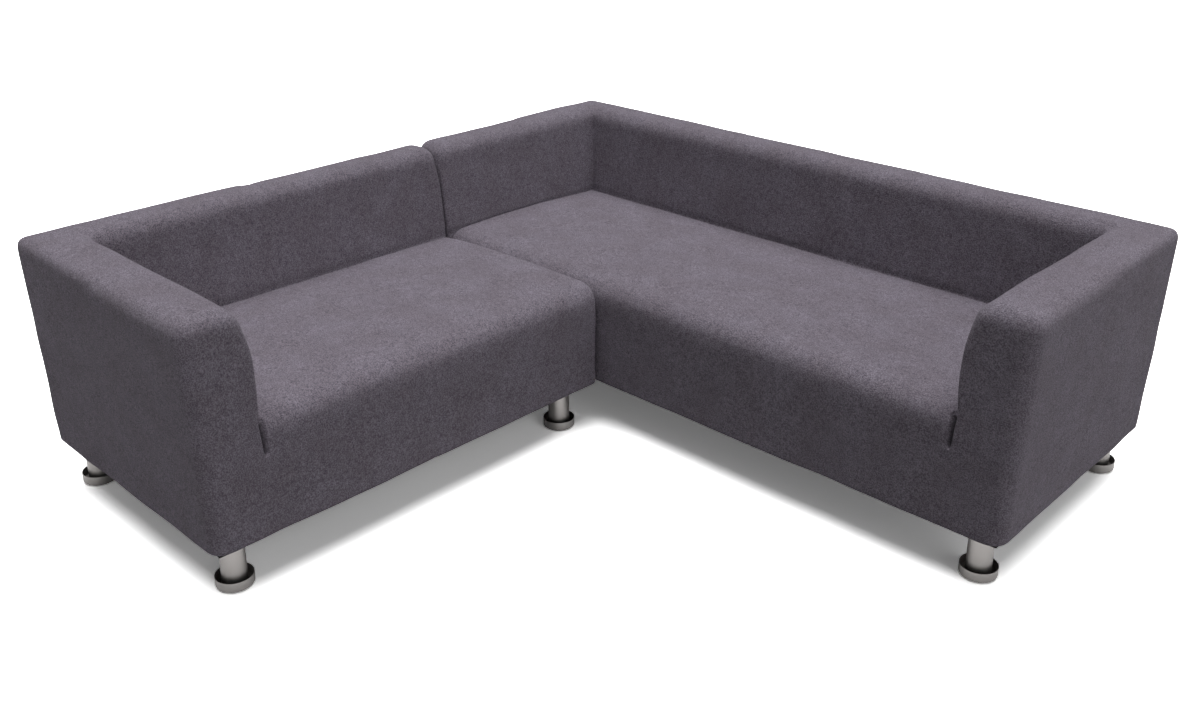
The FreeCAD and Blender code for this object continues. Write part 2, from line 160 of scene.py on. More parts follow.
# %% Distances to the faces of the padding
def round_join(a, b, radius):
    """The distance to a rounded edge of faces a and b.

    It is the larger of the two, at most minus the radius, plus the length of what each is above that.
    """
    outside = np.hypot(np.maximum(a + radius, 0), np.maximum(b + radius, 0))
    return np.minimum(np.maximum(a, b), -radius) + outside


def round_join3(a, b, c, radius):
    """The same for a corner of three faces, with a ball in place of the circle."""
    above = [np.maximum(distance + radius, 0) ** 2 for distance in (a, b, c)]
    return np.minimum(np.maximum(np.maximum(a, b), c), -radius) + np.sqrt(sum(above))


def growing(z, low, high, top_value):
    """A radius that is zero up to the height low and grows smoothly to top_value at the height high."""
    t = np.clip((z - low) / (high - low), 0, 1)
    return top_value * t * t * (3 - 2 * t)


def wall_inner(z, side):
    """How far a wall's inner face stands from its outer edge at height z.

    It goes in a straight line from the seat to the top, and an arm is a little full between them.
    """
    share = (z - seat_height) / (height - seat_height)
    swell = arm_bulge * 4 * np.clip(share, 0, 1) * np.clip(1 - share, 0, 1) if side == "arm" else 0
    return thickness_at_seat[side] + (thickness_at_top[side] - thickness_at_seat[side]) * share + swell


def flare(z, side):
    """How far an arm's outer face has come in at height z. Only arms lean; the corner is upright."""
    return end_flare * (height - z) / (height - underside) if side == "arm" else np.zeros_like(z)


# %% [markdown]
# An arm's inner front edge is sewn flush with the seat's front low down, at a short dart, and
# swings out into a full round edge above. The same happens where a back ends in a free edge.
# So the radius of that one edge grows with height, while the other edges keep theirs. The seat's
# own edge rolls down beside a wall in the same way.

# %% Edges that open with height
slit_opening = 5 * MM
slit_full = 341 * MM
narrow_opening = 12 * MM
narrow_from = 440 * MM
wide_from = 570 * MM
wide_to = 690 * MM
groove_radius = 10 * MM


def edge_opening(z):
    """The radius of an arm's inner front edge. It is zero at the dart's foot and grows in two steps."""
    slit = growing(z, dart_foot, slit_full, slit_opening)
    narrow = growing(z, slit_full, narrow_from, narrow_opening - slit_opening)
    return slit + narrow + growing(z, wide_from, wide_to, wall_round - narrow_opening)


def groove_roll(z):
    """How far the seat's edge rolls down beside a wall: a little in the dart's slit, fully on the seat."""
    slit = growing(z, dart_foot, slit_full, slit_opening)
    return slit + growing(z, seat_height - nose_round, seat_height, groove_radius - slit_opening)


# %% [markdown]
# The back and each side wall are boxes with rounded edges, joined where they run into each other.
# In the inner corners the fabric is sewn tight, so the surface dips there in a narrow crease.

# %% The walls
corner_crease = 9 * MM
crease_width = 6 * MM


def wall_distance(module, p):
    """The distance to the padded walls: the least of the distances to the back and to each side wall.

    A crease adds a bell curve around the line where the inner faces meet.
    """
    u, v, z = p.T
    opening = edge_opening(z)
    rear = v - module_depth
    top = z - height
    back_inner = module_depth - wall_inner(z, "back") - v
    crease = np.zeros(len(p))
    sides = []
    for at_left, side in ((True, module.left), (False, module.right)):
        if side == "plain":
            continue
        x = u if at_left else module.length - u
        inner = x - wall_inner(z, side)
        crease += corner_crease * np.exp(-(inner ** 2 + back_inner ** 2) / crease_width ** 2)
        outer = flare(z, side) - x
        radius = np.where((inner > outer) & (v < module_depth / 2), opening, wall_round)
        radius = np.where((inner < outer) & (v > module_depth / 2), rear_corner_round, radius)
        sides.append(round_join3(np.maximum(outer, inner), np.maximum(-v, rear), top, radius))
    ends = np.maximum(flare(z, module.left) - u, u - module.length + flare(z, module.right))
    near_plain_end = (module.right == "plain") & (u > module.length / 2)
    radius = np.where(near_plain_end & (back_inner > rear), opening, wall_round)
    radius = np.where(~near_plain_end & (back_inner < rear), rear_corner_round, radius)
    back = round_join3(ends, np.maximum(back_inner, rear), top, radius)
    walls = np.minimum.reduce(sides + [back]) + crease
    return round_join(walls, underside - z, hem_round)


# %% [markdown]
# The seat is one block of foam from wall to wall. Its front stands upright and rolls over a round
# nose into a top that is crowned in the middle and falls a little to the rear.

# %% The seat block
def seat_distance(module, p):
    """The distance to the seat block: front, crowned top and plain end, each pair joined round.

    The crown is a parabola over the depth, less a fall that grows with its square.
    """
    u, v, z = p.T
    rear = module_depth - thickness_at_seat["back"]
    along = np.clip(v / rear, 0, 1)
    crown = seat_crown * 4 * along * (1 - along) - seat_fall * along ** 2
    block = round_join(-v, z - seat_height - crown, nose_round)
    if module.right == "plain":
        block = round_join(block, u - module.length, plain_end_round)
    else:
        block = np.maximum(block, u - module.length + thickness_at_seat[module.right] / 2)
    hidden = np.maximum(thickness_at_seat[module.left] / 2 - u, v - rear - seat_run_under_back)
    return round_join(np.maximum(block, hidden), underside - z, hem_round)


# %% [markdown]
# At the top of a dart the fabric of the arm and of the seat part, and a narrow slit gapes between
# them. The seat's front stands back there, and painted shade darkens the fabric's colour there.
# Both follow one bell curve.

# %% The slit of a dart
slit_depth = 14 * MM
slit_width = 6 * MM
slit_reach = 60 * MM
slit_closes_below_seat = 20 * MM


def in_slit(module, p, half_width):
    """1 in the middle of a dart's slit and 0 away from it, falling off sideways as a bell curve."""
    u, v, z = p.T
    closing = growing(z, seat_height - slit_closes_below_seat, seat_height, 1)
    tall = growing(z, dart_foot, slit_full, 1) * (1 - closing)
    share = np.zeros(len(p))
    for at_left, side in ((True, module.left), (False, module.right)):
        if side == "arm":
            beside = (u if at_left else module.length - u) - wall_inner(z, side)
            share += np.exp(-((beside / half_width) ** 2)) * tall * (v < slit_reach)
    return share


def tucked_seat_distance(module, p):
    """The seat, back in the slit and with its edges rolled down at the walls, which leaves a groove."""
    roll = groove_roll(p[:, 2]) + 1e-6
    parted = seat_distance(module, p) + slit_depth * in_slit(module, p, slit_width)
    return round_join(parted, -wall_distance(module, p), roll)


# %% [markdown]
# The grid starts as a plain block with the seat cut out of it, like stacked boxes. Its lines are
# close together at edges and grooves, where the surface turns, and wide apart on the flat. Only
# the faces between a filled and an empty box are kept, and that is the skin.

# %% Lines and faces of a block grid
fine_steps = np.array([3, 9, 17, 27, 39, 53]) * MM
coarse_step = 30 * MM
room_at_middle = 4 * MM


def grid_lines(stops):
    """Places of the grid lines along one direction: fine beside each stop, even steps in between."""
    lines = [np.array(stops)]
    for a, b in zip(stops[:-1], stops[1:]):
        fine = fine_steps[fine_steps < (b - a) / 2 - room_at_middle]
        lines += [a + fine, b - fine]
        start, end = a + fine[-1], b - fine[-1]
        count = max(1, math.ceil((end - start) / coarse_step))
        lines.append(np.linspace(start, end, count + 1))
    return np.unique(np.round(np.concatenate(lines), 6))


def line_at(lines, place):
    """The number of the grid line at a place."""
    return int(np.argmin(np.abs(lines - place)))


def skin_of(filled):
    """Faces between filled and empty boxes, as grid corners (n x 4 x 3), wound to face outwards."""
    found = []
    for axis in range(3):
        edges = [(1, 1) if a == axis else (0, 0) for a in range(3)]
        change = np.diff(np.pad(filled, edges).astype(np.int8), axis=axis)
        for sign in (1, -1):
            cells = np.argwhere(change == sign)
            corners = np.repeat(cells[:, None, :], 4, axis=1)
            corners[:, (1, 2), (axis + 1) % 3] += 1
            corners[:, (2, 3), (axis + 2) % 3] += 1
            found.append(corners[:, ::-1] if sign == 1 else corners)
    return np.concatenate(found)


# %% [markdown]
# Each point of the skin has to know what it will lie on. Points on the rim between seat and wall
# go into a groove. Below the dart, arm front and seat front are one piece of fabric, so those
# points are flush: they follow whichever of the two is nearer.

# %% The starting skin of a module
def starting_skin(module):
    """The skin's points and faces, and which points lie in a groove, on the seat or where both are flush."""
    plain = module.right == "plain"
    inner_left = thickness_at_seat[module.left]
    rear_inner = module_depth - thickness_at_seat["back"]
    stops_u = [0, inner_left, module.length]
    if not plain:
        stops_u.insert(2, module.length - thickness_at_seat[module.right])
    u = grid_lines(sorted(stops_u + seam_places[module.name]))
    v = grid_lines([0, rear_inner, module_depth])
    z = grid_lines([underside, dart_foot, seat_height, height])
    left = line_at(u, inner_left)
    right = len(u) if plain else line_at(u, stops_u[2])
    back = line_at(v, rear_inner)
    seat = line_at(z, seat_height)
    dart = line_at(z, dart_foot)

    filled = np.ones((len(u) - 1, len(v) - 1, len(z) - 1), bool)
    filled[left:right, :back, seat:] = False
    corners = skin_of(filled)
    numbers, faces = np.unique(corners.reshape(-1, 3), axis=0, return_inverse=True)
    i, j, k = numbers.T

    at_plain_end = (i == len(u) - 1) & plain
    beside = (i == left) | (i == right)
    on_top = (k == seat) & (j <= back) & (i >= left) & (i <= right)
    rim = on_top & (beside | (j == back))
    upright = (k > dart) & (k < seat) & (((j == 0) & beside) | (at_plain_end & (j == back)))
    groove = rim | upright
    open_front = (j == 0) & (i > left) & (i < right) & (k <= seat)
    open_end = at_plain_end & (j < back) & (k <= seat)
    flush = (k == 0) | ((k <= dart) & ((j == 0) | at_plain_end))
    on_seat = ((on_top & ~rim) | open_front | open_end) & ~groove & ~flush
    points = np.column_stack([u[i], v[j], z[k]])
    return points, faces.reshape(-1, 4), groove, on_seat, flush


# %% [markdown]
# Drawing the grid onto the padding is the step that a sculptor does by hand. Each point asks how
# far it is from the surface and in which direction the distance falls, and walks that way. A few
# steps are enough.

# %% Walk points onto a surface
least_slope = 0.05


def slope_of(distance, p):
    """The direction in which a distance grows, from its change over a tenth of a millimetre each way."""
    small = 0.1 * MM
    shifts = np.eye(3) * small
    return np.column_stack([(distance(p + s) - distance(p - s)) / (2 * small) for s in shifts])


def limited(move, longest):
    """Moves (n x 3) with those that are too long cut to the longest length."""
    length = np.linalg.norm(move, axis=1, keepdims=True)
    return move * np.minimum(1, longest / np.maximum(length, 1e-9))


def walk_onto(distance, p, steps=8, longest=15 * MM):
    """Moves points until their distance is zero.

    Each step is the slope times minus the distance, over the slope squared.
    """
    p = p.copy()
    for _ in range(steps):
        g = slope_of(distance, p)
        move = -distance(p)[:, None] * g / np.maximum((g * g).sum(1), least_slope)[:, None]
        p += limited(move, longest)
    return p


# %% [markdown]
# Points in a groove have to meet two surfaces at once, wall and seat, so each step solves two
# equations together. A tight seam then pulls them in further, which gives a sharp dark line.

# %% Points in grooves
looseness = 0.02


def walk_into_groove(wall, seat, p, steps=12, longest=8 * MM):
    """Moves points to where both distances are zero.

    Each step is the shortest that cancels both, from the two slopes and the products between them.
    """
    p = p.copy()
    for _ in range(steps):
        a, b = slope_of(wall, p), slope_of(seat, p)
        aa, bb, ab = (a * a).sum(1) + looseness, (b * b).sum(1) + looseness, (a * b).sum(1)
        det = aa * bb - ab ** 2
        fa, fb = wall(p), seat(p)
        ka = (fa * bb - fb * ab) / det
        kb = (fb * aa - fa * ab) / det
        p += limited(-(ka[:, None] * a + kb[:, None] * b), longest)
    return p


def pinched(wall, seat, p, pinch, straight_back):
    """Pulls the points of a groove in: away from both surfaces, or straight back in a slit."""
    inwards = -(slope_of(wall, p) + slope_of(seat, p))
    inwards /= np.maximum(np.linalg.norm(inwards, axis=1, keepdims=True), 1e-6)
    inwards[straight_back] = (0, 1, 0)
    return p + pinch[:, None] * inwards


# %% [markdown]
# The walls lean and get thinner to the top, while the block grid is upright. If each plane of
# the grid leans with the wall that it will lie on, every point starts close to its own face.

# %% Lean the grid with the walls
spread_beyond_wall = 120 * MM


def lean(x, z, side):
    """Shifts lines at distance x from a wall's outer edge, so that the one at its inner face leans with it.

    The shift grows in a straight line up to the inner face, and dies away beyond it.
    """
    start = thickness_at_seat[side]
    shift = wall_inner(np.maximum(z, dart_foot), side) - start
    beyond = np.clip(1 - (x - start) / spread_beyond_wall, 0, 1)
    return x + shift * np.where(x <= start, x / start, beyond)


def lean_with_walls(module, p):
    """Leans the upright grid planes beside the side walls and the back."""
    u, v, z = p.T
    u = lean(u, z, module.left)
    if module.right != "plain":
        u = module.length - lean(module.length - u, z, module.right)
    return np.column_stack([u, module_depth - lean(module_depth - v, z, "back"), z])


# %% [markdown]
# Now one module's skin is put together. It lies a millimetre inside the outer sizes, which leaves
# room for the swells of the next step.

# %% The padded form of a module
groove_pinch = 7 * MM
slit_pinch = 16 * MM
slit_ends_below_seat = 10 * MM
foam_inset = 1 * MM


def padded_form(module):
    """The skin of one module in its own frame, before it swells."""
    p, faces, groove, on_seat, flush = starting_skin(module)
    p = lean_with_walls(module, p)
    on_wall = ~groove & ~on_seat & ~flush

    def wall(q):
        return wall_distance(module, q) + foam_inset

    def seat(q):
        return tucked_seat_distance(module, q) + foam_inset

    def seat_in_groove(q):
        return seat_distance(module, q) + foam_inset + groove_roll(q[:, 2])

    def wall_or_seat(q):
        return np.minimum(wall_distance(module, q), seat_distance(module, q)) + foam_inset

    p[flush] = walk_onto(wall_or_seat, p[flush])
    p[on_wall] = walk_onto(wall, p[on_wall])
    p[on_seat] = walk_onto(seat, p[on_seat])
    upright = (p[groove, 1] < nose_round) & (p[groove, 2] < seat_height - slit_ends_below_seat)
    pinch = np.where(upright, growing(p[groove, 2], dart_foot, slit_full, slit_pinch), groove_pinch)
    q = walk_into_groove(wall, seat_in_groove, p[groove])
    p[groove] = pinched(wall, seat_in_groove, q, pinch, upright)
    return p, faces, groove


# %% [markdown]
# Foam is never quite even under its fabric, and the fabric is joined where a bolt of cloth ends.
# Both are drawn as small shifts along the surface's own direction: broad, gentle swells made of
# many sine waves that run in all directions, and a narrow dip along each seam.

# %% Unevenness and seams
swell_height = 0.7 * MM
swell_lengths = (90 * MM, 260 * MM)
seam_dip = 1.6 * MM
seam_half_width = 3.5 * MM
fading_slope = 0.3
wave_count = 24
waves = np.random.default_rng(7)
directions = waves.normal(size=(wave_count, 3))
directions /= np.linalg.norm(directions, axis=1, keepdims=True)
wave_numbers = 2 * math.pi / waves.uniform(*swell_lengths, size=wave_count)
wave_starts = waves.uniform(0, 2 * math.pi, size=wave_count)


def swells(p):
    """The sum of sine waves through space over the root of half their number, times the swell height."""
    phase = (p @ directions.T) * wave_numbers + wave_starts
    return swell_height * np.sin(phase).sum(1) / math.sqrt(wave_count / 2)


def seam_dips(module, p):
    """How far the surface dips along the fabric seams, as a bell curve across each one."""
    dips = np.zeros(len(p))
    for place in seam_places[module.name]:
        dips += np.exp(-(((p[:, 0] - place) / seam_half_width) ** 2))
    return seam_dip * dips


def relief(module, p, groove):
    """Moves the points of a skin along the slope of the padding's distance, but not those in grooves."""
    def padding(q):
        return np.minimum(wall_distance(module, q), seat_distance(module, q))

    away = slope_of(padding, p)
    away /= np.maximum(np.linalg.norm(away, axis=1, keepdims=True), fading_slope)
    shift = swells(p) - seam_dips(module, p) - swell_height
    shift[groove] = 0
    return p + shift[:, None] * away


forms = {}
for module in modules:
    p, faces, groove = padded_form(module)
    p = relief(module, p, groove)
    forms[module.name] = (p, faces)
    print(module.name, "skin:", len(p), "points,", len(faces), "faces,", int(groove.sum()), "in grooves")

# %% [markdown]
# Each skin becomes a mesh, and one level of Subdivision Surface smooths it between the grid's
# lines. It stands for the cover and the foam of the imported model, which are hidden. How deep a
# point lies in a dart's slit is kept as an attribute, through which shade is painted into the
# fabric's colour there.

# %% Make the covers
slit_shade_width = 3.5 * MM
covers = []
for module in modules:
    p, faces = forms[module.name]
    cover = mesh_object(f"{module.name}_upholstery", module.to_sofa(p), faces)
    finer = cover.modifiers.new("finer", "SUBSURF")
    finer.levels = finer.render_levels = 1
    # Painted shade: the slit_shade attribute says how far the fabric's colour is darkened in a dart's slit.
    shade = cover.data.attributes.new("slit_shade", "FLOAT", "POINT")
    shade.data.foreach_set("value", in_slit(module, p, slit_shade_width).astype(np.float32))
    covers.append(cover)
    soft = [f"{module.name}_{part}" for part in ("cover", "seat_foam", "back_foam", "arm_foam")]
    if module.name == "long":
        soft.append("long_return_foam")
    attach(cover, f"{module.name}_module")
    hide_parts(*soft)
print(len(covers), "covers")

# %% [markdown]
# Each leg is a steel tube with a cap at its top, and a dish-shaped foot that screws in and out
# below it. All are turned parts, so each is one outline spun round an axis. The outline is given
# as radius and height, and runs once round the section of the metal.

# %% Spin an outline
leg_sides = 96


def turned(outline, places, sides=leg_sides, thread=None):
    """Points and faces of a closed outline (radius, height) spun round an upright axis at each place (x, y).

    A thread takes its depth times a triangle wave off the radius. The wave follows height over pitch
    minus the angle's share of a turn.
    """
    angle = np.arange(sides) * 2 * math.pi / sides
    r, z = np.repeat(outline[:, None, :], sides, axis=1).transpose(2, 0, 1)
    if thread:
        pitch, cut, low, high = thread
        phase = (z / pitch - angle / (2 * math.pi)) % 1
        wave = 1 - np.abs(2 * phase - 1)
        r = r - np.where((z > low) & (z < high), cut * wave, 0)
    ring = np.stack([r * np.cos(angle), r * np.sin(angle), z], axis=-1).reshape(-1, 3)
    count = len(outline)
    i, j = np.meshgrid(np.arange(count), np.arange(sides), indexing="ij")
    next_i, next_j = (i + 1) % count * sides, (j + 1) % sides
    quads = np.stack([i * sides + j, i * sides + next_j, next_i + next_j, next_i + j], axis=-1)
    points, faces = [], []
    for number, (x, y) in enumerate(places):
        points.append(ring + np.array([x, y, 0]))
        faces.append(quads.reshape(-1, 4) + number * len(ring))
    return np.concatenate(points), np.concatenate(faces)


def sharp_turned(name, outline, places, **settings):
    """A turned object from an outline in millimetres, smooth round the axis and sharp at its corners."""
    points, faces = turned(np.array(outline) * MM, places, **settings)
    made = mesh_object(name, points, faces)
    made.data.set_sharp_from_angle(angle=math.radians(30))
    return made


# %% [markdown]
# The tube is 60 mm across with a wall of 2 mm, and the dish is 90 mm across with a softened rim.
# A threaded stud stands in the middle of the dish, and under it a flat pad stays on the floor.
# The outlines are in millimetres, and a thread has four rings of points to a turn.

# %% Outlines of the tube, the dish, the stud and the pad
cloth_thickness = 1 * MM
leg_top = (underside - cloth_thickness) / MM
leg_foot = 6
tube_outline = [
    (28, leg_foot + 0.4), (28.4, leg_foot), (29.6, leg_foot), (30, leg_foot + 0.4), (30, leg_top - 0.4),
    (29.6, leg_top), (5.2, leg_top), (5.2, leg_top - 4), (28, leg_top - 4),
]
dish_outline = [
    (6.05, 3), (41, 3), (42.6, 3.35), (43.9, 4.3), (44.7, 5.6), (45, 7), (45, 27.5), (44.6, 28),
    (43.8, 28), (43.4, 27.5), (43.4, 7.2), (42.6, 5.6), (41, 5), (8.4, 5), (6.05, 4.9),
]
pitch = 1.5
stud_thread = (pitch * MM, 0.9 * MM, 8 * MM, 50 * MM)
thread_steps = np.arange(5, 50.6, pitch / 4)
stud_outline = [(0.02, 4.6), (6, 4.6)] + [(6, h) for h in thread_steps] + [(4.5, 52), (0.02, 52)]
pad_outline = [(0.02, 0), (37.2, 0), (37.8, 0.25), (38, 0.8), (38, 3), (6, 3), (6, 4.5), (0.02, 4.5)]

# %% [markdown]
# There are four legs to a module, set in from its ends, front and rear. The tubes belong to the
# module. Dish and stud ride together on one body that turns. The pad rides on another, which only
# slides up and down, so it never scrubs round on the floor.

# %% Legs and feet
inset_end = 80 * MM
inset_front = 84 * MM
inset_rear = 46 * MM


def leg_places(module):
    """The name and (x, y) of each leg of a module."""
    left = inset_end + (end_flare if module.left == "arm" else 0)
    right = module.length - inset_end - (end_flare if module.right == "arm" else 0)
    ends = {"corner": left, "arm": right} if module.name == "long" else {"arm": left, "inner": right}
    rows = {"front": inset_front, "rear": module_depth - inset_rear}
    spots = {f"{row}_{end}": (u, v, 0) for row, v in rows.items() for end, u in ends.items()}
    return {name: tuple(module.to_sofa([spot])[0][:2]) for name, spot in spots.items()}


steel_pieces, pads = [], []
for module in modules:
    spots = leg_places(module)
    tubes = sharp_turned(f"{module.name}_tubes", tube_outline, spots.values())
    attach(tubes, f"{module.name}_module")
    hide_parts(f"{module.name}_leg_tubes")
    steel_pieces.append(tubes)
    for name, spot in spots.items():
        full = f"{module.name}_{name}"
        dish = sharp_turned(f"dish_{full}", dish_outline, [spot])
        stud = sharp_turned(f"stud_{full}", stud_outline, [spot], sides=32, thread=stud_thread)
        pad = sharp_turned(f"pad_{full}", pad_outline, [spot])
        for piece in (dish, stud):
            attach(piece, f"cup_{full}")
            steel_pieces.append(piece)
        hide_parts(f"cup_{full}")
        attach(pad, f"glide_{full}")
        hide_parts(f"glide_{full}")
        pads.append(pad)
print(len(steel_pieces), "steel pieces,", len(pads), "pads")

# %% [markdown]
# Straps and cloths are flat sheets over a grid. A Solidify modifier gives them their thickness,
# which is the simplest way to thicken a flat thing. Both hang through a little between rails.

# %% Sheets that sag
frame_inset = 20 * MM
rail_thickness = 30 * MM
rail_height = 180 * MM
front_rail_face = 22 * MM
rear_rail_face = module_depth - frame_inset
rail_edges = [front_rail_face + rail_thickness, rear_rail_face - rail_thickness]
bays = {"long": 4, "short": 2}


def bay_stops(module):
    """Where a module's frame starts and ends along its length, and the even places of its cross rails."""
    left = frame_inset + (end_flare if module.left == "arm" else 0)
    right = module.length - frame_inset - (end_flare if module.right == "arm" else 0)
    return np.linspace(left, right, bays[module.name] + 1)


def thickened(piece, thickness):
    """Gives a sheet its thickness downwards."""
    solid = piece.modifiers.new("thickness", "SOLIDIFY")
    solid.thickness = thickness
    solid.offset = -1


def sheet_grid(u, v, z):
    """Points and faces of a sheet over the grid lines u and v, with heights z, facing up."""
    count = len(v)
    i, j = np.meshgrid(np.arange(len(u) - 1), np.arange(count - 1), indexing="ij")
    first = i * count + j
    faces = np.stack([first, first + count, first + count + 1, first + 1], axis=-1)
    grid_u, grid_v = np.meshgrid(u, v, indexing="ij")
    return np.column_stack([grid_u.ravel(), grid_v.ravel(), z.ravel()]), faces.reshape(-1, 4)


def sag_between(x, supports):
    """A parabola that is 0 at each support and 1 midway between two of them."""
    supports = np.array(supports)
    number = np.clip(np.searchsorted(supports, x) - 1, 0, len(supports) - 2)
    share = np.clip((x - supports[number]) / (supports[number + 1] - supports[number]), 0, 1)
    return 4 * share * (1 - share)


# %% [markdown]
# Under the seat foam run elastic straps from the front rail to the rear rail, side by side in
# each bay between the cross rails. They are stapled down on the rails, so only the free stretch
# sags. All the straps of a module are one object, because they are alike and never part.

# %% Seat straps
hem_thickness = 2 * MM
post_width = 40 * MM
post_depth = 50 * MM
strap_width = 60 * MM
strap_thickness = 2 * MM
strap_spacing = 100 * MM
strap_sag = 4 * MM
strap_top = underside + hem_thickness + rail_height + strap_thickness

strap_sets = []
for module in modules:
    stops = bay_stops(module)
    middles = []
    for low, high in zip(stops[:-1], stops[1:]):
        start = max(low + post_width / 2, stops[0] + post_depth)
        end = min(high - post_width / 2, stops[-1] - post_depth)
        count = int((end - start) / strap_spacing)
        middles += list(start + (np.arange(count) + 0.5) * (end - start) / count)
    along = np.linspace(front_rail_face, rear_rail_face, 60)
    dip = strap_sag * sag_between(along, rail_edges)
    points, faces = [], []
    for number, middle in enumerate(middles):
        across = middle + np.linspace(-0.5, 0.5, 7) * strap_width
        p, f = sheet_grid(across, along, np.tile(strap_top - dip, (len(across), 1)))
        points.append(p)
        faces.append(f + number * len(p))
    points = module.to_sofa(np.concatenate(points))
    straps = mesh_object(f"{module.name}_straps", points, np.concatenate(faces))
    thickened(straps, strap_thickness)
    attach(straps, f"{module.name}_module")
    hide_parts(f"{module.name}_seat_webbing")
    strap_sets.append(straps)
    print(module.name, "module:", len(middles), "straps")

# %% [markdown]
# Below the frame lies a thin black cloth that keeps dust out. It is one sheet, stapled to the
# rails, and sags by a few millimetres in each bay. Extra grid lines at the rails keep the sheet
# flat where it is held.

# %% Dust cloths
cloth_inset = 15 * MM
cloth_sag = 3 * MM

dust_cloths = []
for module in modules:
    stops = bay_stops(module)
    low_u = stops[0] - frame_inset + cloth_inset
    high_u = stops[-1] + frame_inset - cloth_inset
    rails = [stops[0] + rail_thickness, *stops[1:-1], stops[-1] - rail_thickness]
    u = np.unique(np.concatenate([np.linspace(low_u, high_u, 90), rails]))
    v = np.unique(np.concatenate([np.linspace(cloth_inset, module_depth - cloth_inset, 40), rail_edges]))
    dip = cloth_sag * sag_between(u, rails)[:, None] * sag_between(v, rail_edges)[None, :]
    p, f = sheet_grid(u, v, underside - dip)
    cloth_sheet = mesh_object(f"{module.name}_under_cloth", module.to_sofa(p), f)
    thickened(cloth_sheet, cloth_thickness)
    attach(cloth_sheet, f"{module.name}_module")
    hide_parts(f"{module.name}_dust_cloth")
    dust_cloths.append(cloth_sheet)
    print(module.name, "cloth", round(high_u - low_u, 4), "m long")

# %% [markdown]
# Materials are small networks of shader nodes. One helper adds a node, sets it up and connects
# it, so that a material below reads like a recipe. Pattern sizes are given in millimetres: a
# noise with a scale of 1000 / 3 has grains about 3 mm across, because it counts per metre.

# %% Helpers for materials
def add(tree, kind, inputs=None, **settings):
    """Adds a node. Each input is a plain value, or another node's socket to connect."""
    made = tree.nodes.new(kind)
    for name, value in settings.items():
        setattr(made, name, value)
    for name, value in (inputs or {}).items():
        if isinstance(value, bpy.types.NodeSocket):
            tree.links.new(value, made.inputs[name])
        else:
            made.inputs[name].default_value = value
    return made


def new_material(name):
    """An empty material, and the tree that its nodes go into."""
    material = bpy.data.materials.new(name)
    material.use_nodes = True
    material.node_tree.nodes.clear()
    return material, material.node_tree


def per_metre(size_mm):
    """The scale of a noise whose grains are this many millimetres across."""
    return 1000 / size_mm


# %% [markdown]
# The cover is a flocked upholstery fabric: short fibres on a woven ground. It has no gloss. Its
# colour is a charcoal with a breath of violet, broken up by darker and lighter fibres, and where
# light grazes it the fibre tips glow a little, which is what sheen does. Real fibres are too fine
# to show in the picture, so the finest grain here is drawn at about 3 mm.

# %% Flocked upholstery fabric
# The colour sockets of a Mix node go by number, because its other sockets share their names.
mix_share, mix_a, mix_b, mixed = 0, 6, 7, 2
fabric, tree = new_material("flocked_upholstery_fabric")
place = add(tree, "ShaderNodeTexCoord").outputs["Object"]
fibres = add(tree, "ShaderNodeTexNoise", {
    "Vector": place, "Scale": per_metre(3.2), "Detail": 2.0, "Roughness": 0.8,
})
tufts = add(tree, "ShaderNodeTexNoise", {
    "Vector": place, "Scale": per_metre(14), "Detail": 4.0, "Roughness": 0.75, "Distortion": 0.5,
})
clouds = add(tree, "ShaderNodeTexNoise", {"Vector": place, "Scale": per_metre(110), "Detail": 3.0})
flecks = add(tree, "ShaderNodeMath", {0: fibres.outputs["Fac"], 1: 0.75}, operation="MULTIPLY")
flecks = add(tree, "ShaderNodeMath", {
    0: tufts.outputs["Fac"], 1: 0.25, 2: flecks.outputs[0],
}, operation="MULTIPLY_ADD")
fibre_colour = add(tree, "ShaderNodeValToRGB", {"Fac": flecks.outputs[0]})
fibre_stops = fibre_colour.color_ramp.elements
fibre_stops[0].position, fibre_stops[0].color = 0.39, colour("#504b54")
fibre_stops[1].position, fibre_stops[1].color = 0.61, colour("#8c8590")
cloud_tint = add(tree, "ShaderNodeValToRGB", {"Fac": clouds.outputs["Fac"]})
cloud_stops = cloud_tint.color_ramp.elements
cloud_stops[0].position, cloud_stops[0].color = 0.35, colour("#f1efee")
cloud_stops[1].position, cloud_stops[1].color = 0.65, colour("#ffffff")
tinted = add(tree, "ShaderNodeMix", data_type="RGBA", blend_type="MULTIPLY", inputs={
    mix_share: 1.0, mix_a: fibre_colour.outputs["Color"], mix_b: cloud_tint.outputs["Color"],
})
# Painted shade: in a dart's slit the base colour is mixed towards near black #141215, standing in for the
# shade there.
painted_slit_shade = add(tree, "ShaderNodeAttribute", attribute_name="slit_shade")
shaded = add(tree, "ShaderNodeMix", data_type="RGBA", inputs={
    mix_share: painted_slit_shade.outputs["Fac"], mix_a: tinted.outputs[mixed], mix_b: colour("#141215"),
})
nap = add(tree, "ShaderNodeBump", {"Height": flecks.outputs[0], "Strength": 0.8, "Distance": 4 * MM})
pile = add(tree, "ShaderNodeBsdfPrincipled", {
    "Base Color": shaded.outputs[mixed], "Roughness": 0.95, "Specular IOR Level": 0.1,
    "Sheen Weight": 0.25, "Sheen Roughness": 0.6, "Sheen Tint": colour("#b8b2bc"),
    "Normal": nap.outputs["Normal"],
})
add(tree, "ShaderNodeOutputMaterial", {"Surface": pile.outputs["BSDF"]})

# %% [markdown]
# The hidden and the small pieces get real finishes too. Brushed satin steel for the legs is a
# metal with a broad soft gloss. Its colour is what it mirrors back, so on a white floor it reads
# as a light warm grey. Zinc plate is bluer and a little brighter. Nylon and the pads' hard
# plastic are dull and nearly black.

